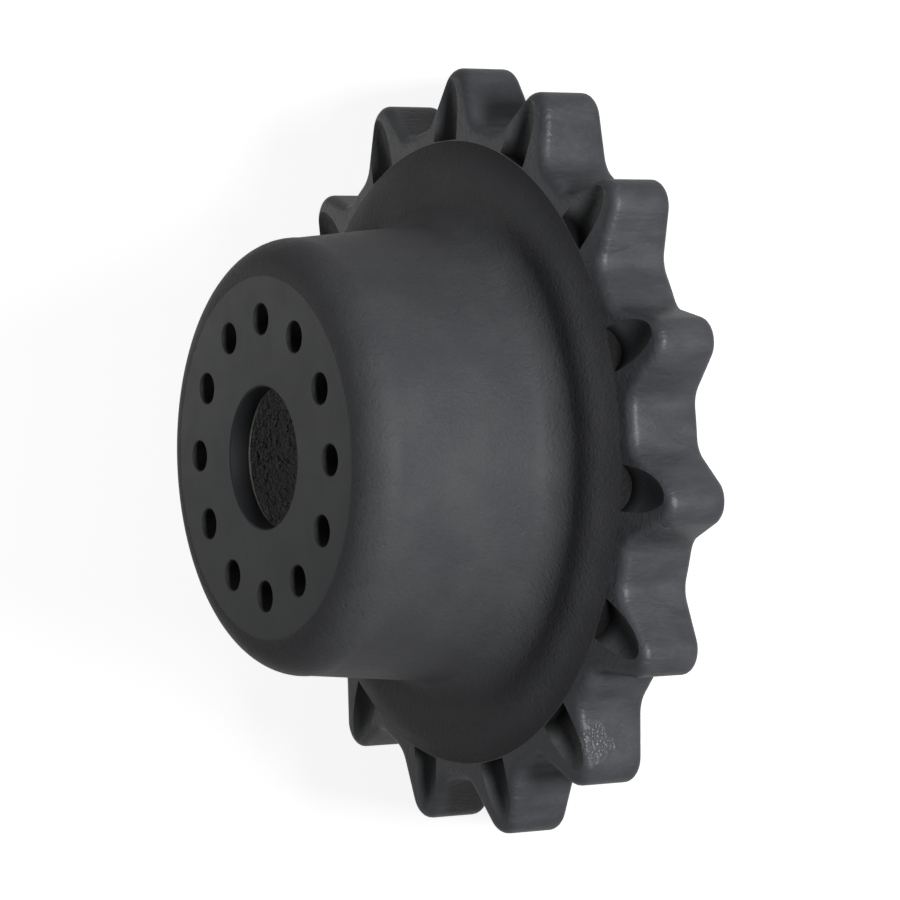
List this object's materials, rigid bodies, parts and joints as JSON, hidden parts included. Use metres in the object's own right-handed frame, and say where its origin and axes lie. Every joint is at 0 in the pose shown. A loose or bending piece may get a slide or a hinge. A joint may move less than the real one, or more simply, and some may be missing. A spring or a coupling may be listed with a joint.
{
  "type": "drive sprocket",
  "caption": "Cast drive sprocket: a hollow drum with a flat, drilled bolt face, a flange, and a wide rim of round-tipped teeth that drives a rubber track.",
  "frame": {"origin": "on the rotation axis, in the plane of the rim's back on which the part stands", "axes": "+Z along the rotation axis, out of the bolt face; +X through the first bolt hole"},
  "size_m": [0.4221, 0.4236, 0.1635],
  "materials": {
    "black_paint": "satin, slightly bluish black paint over a rough casting"
  },
  "bodies": {
    "root": {"sprocket": "black_paint"}
  },
  "joints": []
}
